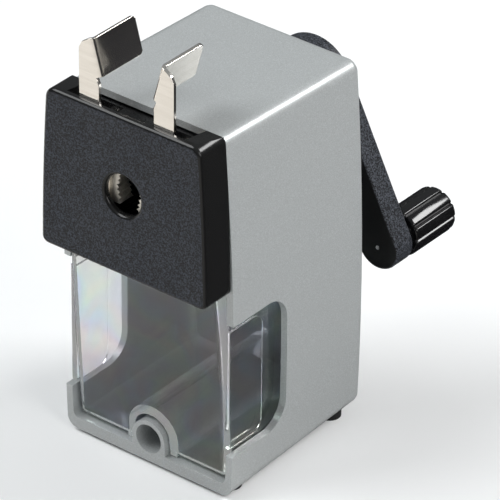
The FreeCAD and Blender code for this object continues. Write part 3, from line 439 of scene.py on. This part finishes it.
def makeDrawerClear():
    look = drawerFinish
    material, tree, shader = startMaterial("drawerClear", IOR=look["index"], Transmission_Weight=1.0)
    # painted glow: emission on deep glossy bounces stands in for light caught inside the thick corners, which
    # would be black once its bounces run out
    shader.inputs["Emission Color"].default_value = look["colour"]
    depth = addNode(tree, "ShaderNodeLightPath").outputs["Glossy Depth"]
    glow = remap(tree, depth, look["paintedGlowFrom"], look["paintedGlowTo"], 0.0, look["paintedGlow"])
    tree.links.new(glow, shader.inputs["Emission Strength"])
    tint = placeGroup(tree, stress, Colour=look["colour"], Strength=look["rainbow"],
                      Bands=look["rainbowBands"])
    marks = placeGroup(tree, handling, Roughness=look["roughness"], Spread=look["spread"],
                       Size=look["markSize"])
    tree.links.new(tint.outputs["Colour"], shader.inputs["Base Color"])
    tree.links.new(marks.outputs["Roughness"], shader.inputs["Roughness"])
    feedBump(tree, shader, tint.outputs["Ripple"], look["ripple"])
    return material


def makeMetal(name, colour, lineColour, roughness, stretch, depth=0.003, spread=0.08):
    material, tree, shader = startMaterial(name, Metallic=1.0)
    lines = placeGroup(tree, brushed, Colour=colour, LineColour=lineColour, Stretch=stretch,
                       Roughness=roughness, Spread=spread)
    tree.links.new(lines.outputs["Colour"], shader.inputs["Base Color"])
    tree.links.new(lines.outputs["Roughness"], shader.inputs["Roughness"])
    feedBump(tree, shader, lines.outputs["Height"], depth * millimetre)
    return material


def makeGrained(name, colour, fleck, grain, roughness, metallic=0.0, depth=0.03):
    material, tree, shader = startMaterial(name, Metallic=metallic)
    pits = placeGroup(tree, mouldGrain, Colour=colour, FleckColour=fleck, Grain=grain, Flecks=0.4,
                      Roughness=roughness, Spread=0.1)
    tree.links.new(pits.outputs["Colour"], shader.inputs["Base Color"])
    tree.links.new(pits.outputs["Roughness"], shader.inputs["Roughness"])
    feedBump(tree, shader, pits.outputs["Height"], depth * millimetre)
    return material


finishes = {
    "housing_grey": makeHousingGrey(),
    "cover_black": makeCoverBlack(),
    "arm_black": makeArmBlack(),
    "knob_black": makeKnobBlack(),
    "plate_black": makeGrained("plateBlack", rgb(20, 20, 21), rgb(44, 44, 46), 2200.0, 0.3, 0.4, 0.01),
    "works_black": makeGrained("worksBlack", rgb(34, 35, 37), rgb(58, 60, 62), 1200.0, 0.45),
    "drawer_clear": makeDrawerClear(),
    "nickel_sheet": makeMetal("nickelSheet", rgb(250, 245, 238), rgb(240, 234, 226), 0.1,
                              (60.0, 60.0, 900.0), 0.001, 0.05),
    "jaw_steel": makeMetal("jawSteel", rgb(250, 246, 238), rgb(228, 224, 216), 0.42,
                           (1400.0, 1400.0, 200.0)),
    "bright_steel": makeMetal("brightSteel", rgb(214, 214, 214), rgb(182, 182, 184), 0.2,
                              (500.0, 2400.0, 500.0)),
    "spring_steel": makeMetal("springSteel", rgb(198, 198, 200), rgb(160, 160, 164), 0.26,
                              (900.0, 900.0, 900.0)),
    "gear_zinc": makeGrained("gearZinc", rgb(168, 170, 174), rgb(196, 198, 202), 1600.0, 0.42, 0.9, 0.02),
    "cutter_steel": makeMetal("cutterSteel", rgb(150, 150, 154), rgb(112, 112, 118), 0.28,
                              (1200.0, 300.0, 1200.0)),
    "pad_rubber": makeGrained("padRubber", rgb(26, 26, 27), rgb(44, 44, 45), 900.0, 0.75),
}

slotOfNode = {name: node.data.materials[0].name for name, node in nodes.items()}
for name, node in nodes.items():
    finish = finishes[slotOfNode[name]]
    for materialSlot in node.material_slots:
        materialSlot.material = finish
print("finishes set on", len(nodes), "nodes")


# helpers for meshes

cornerSteps = 5


def roundOutline(corners):
    # corners are (x, z, radius); each is replaced by an arc of that radius
    points = []
    for index, (x, z, radius) in enumerate(corners):
        here = Vector((x, z))
        if radius == 0:
            points.append(here)
            continue
        back = (Vector(corners[index - 1][:2]) - here).normalized()
        onward = (Vector(corners[(index + 1) % len(corners)][:2]) - here).normalized()
        half = back.angle(onward) / 2
        centre = here + (back + onward).normalized() * radius / math.sin(half)
        first = here + back * radius / math.tan(half) - centre
        last = here + onward * radius / math.tan(half) - centre
        for step in range(cornerSteps + 1):
            points.append(centre + first.lerp(last, step / cornerSteps).normalized() * radius)
    return points


def addLoop(mesh, points):
    verts = [mesh.verts.new(point) for point in points]
    edges = [mesh.edges.new((verts[index - 1], verts[index])) for index in range(len(verts))]
    return verts, edges


def finishPiece(name, mesh, node, modifiers=(), smoothBelow=40):
    # applies the modifiers, sets the finish of the node that it stands for and rides on its body
    bmesh.ops.recalc_face_normals(mesh, faces=mesh.faces)
    data = bpy.data.meshes.new(name)
    mesh.to_mesh(data)
    mesh.free()
    data.shade_smooth()
    data.set_sharp_from_angle(angle=math.radians(smoothBelow))
    piece = bpy.data.objects.new(name, data)
    scene.collection.objects.link(piece)
    for kind, settings in modifiers:
        modifier = piece.modifiers.new(kind.lower(), kind)
        for key, value in settings.items():
            setattr(modifier, key, value)
    if modifiers:
        view = bpy.context.evaluated_depsgraph_get()
        data = bpy.data.meshes.new_from_object(piece.evaluated_get(view))
        piece.modifiers.clear()
        piece.data = data
    data.materials.clear()
    data.materials.append(finishes[slotOfNode[node]])
    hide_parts(node)
    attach(piece, nodes[node]["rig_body"])
    return piece


# pinch levers: sheet steel with a real bend between strip and finger tab

lever = {
    "sheet": 1.2,            # all in millimetres, heights from the pivot
    "bendRadius": 1.4,       # to the middle of the sheet
    "bendSteps": 7,
    "edgeRound": 0.22,
    "bevelFrom": 50,         # degrees
    "foldTop": (12.0, 30.4),
    "foldBottom": (8.8, 19.0),
    "tabCorner": 1.4,
    "outerSide": ((12.4, -28.2, 1), (14.2, -13.6, 1), (17.2, -6, 2), (17.2, 26.2, 1.2),
                  (16.1, 28.3, 1.2)),
    "innerShoulder": ((9.9, 16.6, 0.8), (9.9, 8.6, 0)),
    "innerSide": ((6.9, -8.4, 0), (6.9, -28.2, 1)),
    "toothPitch": 20,        # degrees
    "toothModule": 1.5,
    "toothShape": ((-0.34, -1.15), (-0.13, 0.8), (0.13, 0.8), (0.34, -1.15)),  # share of pitch, modules
    "holes": ((13.5, 0, 2.05), (9.2, -25.6, 1.0), (9.4, -18, 1.2), (9.4, -12, 1.2)),
    "holeSteps": 24,
}


def sectorPoints(firstTooth, toothCount, pivotX):
    points = []
    for index in range(toothCount):
        for share, rise in lever["toothShape"]:
            angle = -math.radians((firstTooth + index + share) * lever["toothPitch"])
            reach = pivotX + rise * lever["toothModule"]
            points.append((pivotX - reach * math.cos(angle), reach * math.sin(angle), 0))
    return points


def makeLever(side, name, firstTooth, toothCount):
    node = "lever_" + name
    pivot = next(joint["pos_m"] for joint in frame["joints"] if joint["name"] == node + "_hinge")
    low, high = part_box(node)
    pivotX = abs(pivot[0]) / millimetre
    middle = low.y / millimetre + lever["sheet"] / 2
    tabEnd = high.y / millimetre
    foldTop, foldBottom = Vector(lever["foldTop"]), Vector(lever["foldBottom"])
    up = (foldTop - foldBottom).normalized()
    out = Vector((up.y, -up.x))
    halfSheet, bend = lever["sheet"] / 2, lever["bendRadius"]
    bendTop, bendBottom = (spot + out * (halfSheet + bend) for spot in (foldTop, foldBottom))

    def inFrame(x, y, height):
        return Vector((side * x, y, height + pivot[2] / millimetre)) * millimetre

    mesh = bmesh.new()
    corners = [*lever["outerSide"], (*bendTop, 0), (*bendBottom, 0), *lever["innerShoulder"],
               *sectorPoints(firstTooth, toothCount, pivotX), *lever["innerSide"]]
    rim, edges = addLoop(mesh, [inFrame(point.x, middle, point.y) for point in roundOutline(corners)])
    for x, height, radius in lever["holes"]:
        turns = [2 * math.pi * step / lever["holeSteps"] for step in range(lever["holeSteps"])]
        hole = [inFrame(x + radius * math.cos(turn), middle, height + radius * math.sin(turn))
                for turn in turns]
        edges += addLoop(mesh, hole)[1]
    bmesh.ops.triangle_fill(mesh, use_beauty=True, edges=edges)

    def rimVertex(spot):
        return min(rim, key=lambda vert: (vert.co - inFrame(spot.x, middle, spot.y)).length)

    last = [rimVertex(bendTop), rimVertex(bendBottom)]
    for step in range(1, lever["bendSteps"] + 1):
        angle = math.pi / 2 * step / lever["bendSteps"]
        row = []
        for spot in (bendTop, bendBottom):
            place = spot - out * bend * math.sin(angle)
            row.append(mesh.verts.new(inFrame(place.x, middle + bend * (1 - math.cos(angle)), place.y)))
        mesh.faces.new((last[0], last[1], row[1], row[0]))
        last = row
    far = tabEnd - (middle + bend)
    tall = (foldTop - foldBottom).length
    corner = lever["tabCorner"]
    flat = roundOutline([(0, 0, 0), (far, 0, corner), (far, tall, corner), (0, tall, 0)])[1:-1]
    tab = [last[1]]
    for point in flat:
        spot = foldBottom.lerp(foldTop, point.y / tall) + out * halfSheet
        tab.append(mesh.verts.new(inFrame(spot.x, middle + bend + point.x, spot.y)))
    mesh.faces.new(tab + [last[0]])
    bmesh.ops.triangulate(mesh, faces=[face for face in mesh.faces if len(face.verts) > 4])
    thicken = ("SOLIDIFY", {"thickness": lever["sheet"] * millimetre, "offset": 0.0, "use_even_offset": True})
    ease = ("BEVEL", {"width": lever["edgeRound"] * millimetre, "segments": 2, "limit_method": "ANGLE",
                      "angle_limit": math.radians(lever["bevelFrom"]), "use_clamp_overlap": False,
                      "harden_normals": True})
    finishPiece("pinchLever." + name, mesh, node, [thicken, ease])


makeLever(side=1, name="right", firstTooth=-1.5, toothCount=4)
makeLever(side=-1, name="left", firstTooth=-1, toothCount=3)
print("levers bent")


# crank knob: barrel with narrow grooves

knob = {
    "lobes": 10,
    "perLobe": 16,
    "grooveDepth": 0.8,      # all in millimetres
    "grooveSharpness": 12,
    "neckStep": 1.7,
    "neckChamfer": 0.3,
    "neckLength": 1.2,
    "frontRound": 1.0,
    "endRound": 1.4,
    "roundSteps": 6,
    "endGroove": 0.5,        # share of the groove that is left at the end
    "bore": 2.05,
    "pocket": 3.5,
    "pocketTop": 2.6,
    "pocketFloor": 4.3,
    "dish": 0.35,
    "dishRim": 3.2,
    "dishEdge": 3.6,
}


def makeKnob():
    low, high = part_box("crank_knob")
    centreX, centreZ = (low.x + high.x) / 2, (low.z + high.z) / 2
    radius = min(high.x - low.x, high.z - low.z) / 2 / millimetre
    start, end = low.y / millimetre, high.y / millimetre
    shoulder, neck = start + knob["neckLength"], radius - knob["neckStep"]
    pocketTop, pocketFloor = end - knob["pocketTop"], end - knob["pocketFloor"]
    # rings are (radius, y, share of the groove), from the pocket inside to the dish in the end
    rings = [(0, pocketTop, 0), (knob["pocket"], pocketTop, 0), (knob["pocket"], pocketFloor, 0),
             (knob["bore"], pocketFloor, 0), (knob["bore"], start, 0), (neck - knob["neckChamfer"], start, 0),
             (neck, start + knob["neckChamfer"], 0), (neck, shoulder, 0)]
    shares = [step / knob["roundSteps"] for step in range(knob["roundSteps"] + 1)]
    for share in shares:
        angle = math.pi / 2 * share
        rings.append((radius - knob["frontRound"] * (1 - math.sin(angle)),
                      shoulder + knob["frontRound"] * (1 - math.cos(angle)), 1))
    for share in shares:
        angle = math.pi / 2 * share
        rings.append((radius - knob["endRound"] * (1 - math.cos(angle)),
                      end - knob["endRound"] * (1 - math.sin(angle)), 1 - (1 - knob["endGroove"]) * share))
    rings += [(radius - knob["dishRim"], end, 0), (radius - knob["dishEdge"], end - knob["dish"], 0),
              (0, end - knob["dish"], 0)]
    mesh = bmesh.new()
    count = knob["lobes"] * knob["perLobe"]
    rows = []
    for ringRadius, y, groove in rings:
        if ringRadius == 0:
            rows.append([mesh.verts.new(Vector((centreX, y * millimetre, centreZ)))])
            continue
        row = []
        for index in range(count):
            angle = 2 * math.pi * index / count
            wave = (0.5 + 0.5 * math.cos(knob["lobes"] * angle)) ** knob["grooveSharpness"]
            reach = (ringRadius - groove * knob["grooveDepth"] * wave) * millimetre
            row.append(mesh.verts.new(Vector((centreX + reach * math.cos(angle), y * millimetre,
                                              centreZ + reach * math.sin(angle)))))
        rows.append(row)
    for inner, outer in zip(rows, rows[1:]):
        for index in range(count):
            following = (index + 1) % count
            around = [inner[index % len(inner)], inner[following % len(inner)],
                      outer[following % len(outer)], outer[index % len(outer)]]
            mesh.faces.new(list(dict.fromkeys(around)))
    finishPiece("flutedKnob", mesh, "crank_knob")


makeKnob()
print("knob turned")


# return springs: closed end coils; the real ones are squeezed against the bulkhead as the carriage is pulled
# out, but these meshes keep their rest length

spring = {
    "turns": 18,
    "closedTurns": 1.5,      # at each end
    "closedPitch": 2.1,      # in wire radii
    "wire": 0.35,            # millimetres
    "stepsPerTurn": 22,
    "sides": 8,
}


def makeReturnSpring(name):
    node = "return_spring_" + name
    low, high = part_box(node)
    wire = spring["wire"] * millimetre
    coil = (high.x - low.x) / 2 - wire
    centre = Vector(((low.x + high.x) / 2, 0, (low.z + high.z) / 2))
    start, end = low.y + wire, high.y - wire
    closed = spring["closedTurns"]
    closedRise = spring["closedPitch"] * wire
    openRise = (end - start - 2 * closed * closedRise) / (spring["turns"] - 2 * closed)
    mesh = bmesh.new()
    rows = []
    for step in range(spring["turns"] * spring["stepsPerTurn"] + 1):
        turn = step / spring["stepsPerTurn"]
        tail = max(0, turn - (spring["turns"] - closed))
        y = start + min(turn, closed) * closedRise + tail * closedRise
        y += max(0, min(turn, spring["turns"] - closed) - closed) * openRise
        outward = Vector((math.cos(2 * math.pi * turn), 0, math.sin(2 * math.pi * turn)))
        row = []
        for side in range(spring["sides"]):
            angle = 2 * math.pi * side / spring["sides"]
            lift = outward * (coil + wire * math.cos(angle))
            row.append(mesh.verts.new(centre + lift + Vector((0, y + wire * math.sin(angle), 0))))
        rows.append(row)
    for first, second in zip(rows, rows[1:]):
        for side in range(spring["sides"]):
            after = (side + 1) % spring["sides"]
            mesh.faces.new((first[side], first[after], second[after], second[side]))
    mesh.faces.new(rows[0])
    mesh.faces.new(rows[-1])
    piece = finishPiece("returnSpring." + name, mesh, node, smoothBelow=70)
    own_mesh(piece)


makeReturnSpring("left")
makeReturnSpring("right")
print("return springs wound")


# studio: a white floor, three soft lamps, and a sky that only the camera sees white; glossy rays
# find a painted reflection on the floor, light on the near side and dark on the far side

studio = {
    "cameraPlace": (0.754217, -0.939008, 0.806075),
    "azimuth": 38.294,
    "elevation": 31.806,
    "roll": 0.56,
    "lens": 350.87,
    "floorSize": 6.0,
    "floorColour": (0.93, 0.93, 0.93, 1.0),
    "paintedReflectionNear": (0.75, 0.72, 0.68, 1.0),
    "paintedReflectionFar": (0.012, 0.012, 0.014, 1.0),
    "nearDirection": (-0.62, -0.78, 0.0),
    "nearFrom": -0.05,       # metres along nearDirection
    "nearTo": 0.1,
    "worldBright": 1.0,
    "worldDim": 0.29,
    "horizonColour": (0.25, 0.25, 0.26, 1),
    "skyColour": (0.93, 0.98, 1.0, 1),
    "skyFrom": 0.7,
}

lamps = {
    "keyLight": {"place": (-0.9, -0.7, 1.5), "target": (0, 0, 0.06), "size": (1.2, 1.2), "power": 24,
                 "colour": (0.97, 0.99, 1.0)},
    "rearLight": {"place": (0.75, 0.95, 0.95), "target": (0, 0, 0.08), "size": (0.7, 0.4), "power": 13,
                  "colour": (1.0, 1.0, 1.0)},
    "rightLight": {"place": (1.6, -0.3, 0.9), "target": (0, 0, 0.06), "size": (1.0, 1.0), "power": 9.8,
                   "colour": (1.0, 0.99, 0.98)},
}


def makeFloor():
    # white paper to the eye; glossy rays see a painted reflection on it, bright on the near side and dark on
    # the far side
    half = studio["floorSize"] / 2
    mesh = bpy.data.meshes.new("studioFloor")
    corners = [(-half, -half, 0), (half, -half, 0), (half, half, 0), (-half, half, 0)]
    mesh.from_pydata(corners, [], [(0, 1, 2, 3)])
    floor = bpy.data.objects.new("studioFloor", mesh)
    scene.collection.objects.link(floor)
    material, tree, shader = startMaterial("floorPaper", Roughness=0.9, Specular_IOR_Level=0.1)
    place = addNode(tree, "ShaderNodeTexCoord").outputs["Object"]
    ahead = addNode(tree, "ShaderNodeVectorMath", {1: studio["nearDirection"]}, operation="DOT_PRODUCT")
    tree.links.new(place, ahead.inputs[0])
    nearness = remap(tree, ahead.outputs["Value"], studio["nearFrom"], studio["nearTo"])
    # painted reflection: a light near side and a dark far side, used only for glossy rays
    paintedReflection = mixColours(tree, nearness, studio["paintedReflectionFar"], studio["paintedReflectionNear"])
    path = addNode(tree, "ShaderNodeLightPath")
    straight = calculate(tree, "LESS_THAN", path.outputs["Transmission Depth"], 0.5)
    glossy = calculate(tree, "MULTIPLY", path.outputs["Is Glossy Ray"], straight)
    tree.links.new(mixColours(tree, glossy, studio["floorColour"], paintedReflection), shader.inputs["Base Color"])
    mesh.materials.append(material)


def makeLight(name, place, target, size, power, colour):
    data = bpy.data.lights.new(name, "AREA")
    data.shape = "RECTANGLE"
    data.size, data.size_y = size
    data.energy = power
    data.color = colour
    lamp = bpy.data.objects.new(name, data)
    scene.collection.objects.link(lamp)
    lamp.location = place
    lamp.rotation_mode = "QUATERNION"
    lamp.rotation_quaternion = (Vector(target) - Vector(place)).to_track_quat("-Z", "Y")


def makeWorld():
    # white to the eye, dimmer and darker near the horizon in what the object reflects
    world = bpy.data.worlds.new("studioWorld")
    scene.world = world
    world.use_nodes = True
    tree = world.node_tree
    tree.nodes.clear()
    output = addNode(tree, "ShaderNodeOutputWorld")
    seen = addNode(tree, "ShaderNodeBackground", {"Color": (1, 1, 1, 1), "Strength": studio["worldBright"]})
    felt = addNode(tree, "ShaderNodeBackground", {"Strength": studio["worldDim"]})
    direction = addNode(tree, "ShaderNodeTexCoord").outputs["Generated"]
    split = addNode(tree, "ShaderNodeSeparateXYZ")
    tree.links.new(direction, split.inputs[0])
    rise = remap(tree, split.outputs["Z"], 0.0, studio["skyFrom"])
    tree.links.new(mixColours(tree, rise, studio["horizonColour"], studio["skyColour"]), felt.inputs["Color"])
    mix = addNode(tree, "ShaderNodeMixShader")
    tree.links.new(addNode(tree, "ShaderNodeLightPath").outputs["Is Camera Ray"], mix.inputs[0])
    tree.links.new(felt.outputs[0], mix.inputs[1])
    tree.links.new(seen.outputs[0], mix.inputs[2])
    tree.links.new(mix.outputs[0], output.inputs["Surface"])


def makeCamera():
    azimuth, elevation, roll = (math.radians(studio[key]) for key in ("azimuth", "elevation", "roll"))
    forward = Vector((-math.sin(azimuth) * math.cos(elevation), math.cos(azimuth) * math.cos(elevation),
                      -math.sin(elevation)))
    level = Vector((math.cos(azimuth), math.sin(azimuth), 0))
    steep = level.cross(forward)
    right = level * math.cos(roll) + steep * math.sin(roll)
    above = steep * math.cos(roll) - level * math.sin(roll)
    data = bpy.data.cameras.new("studioCamera")
    data.lens = studio["lens"]
    data.clip_start, data.clip_end = 0.1, 20.0
    camera = bpy.data.objects.new("studioCamera", data)
    scene.collection.objects.link(camera)
    turn = Matrix((right, above, -forward)).transposed().to_4x4()
    camera.matrix_world = Matrix.Translation(studio["cameraPlace"]) @ turn
    scene.camera = camera


makeFloor()
for lampName, lampValues in lamps.items():
    makeLight(lampName, **lampValues)
makeWorld()
makeCamera()
scene.view_settings.view_transform = "Standard"
print("studio ready")
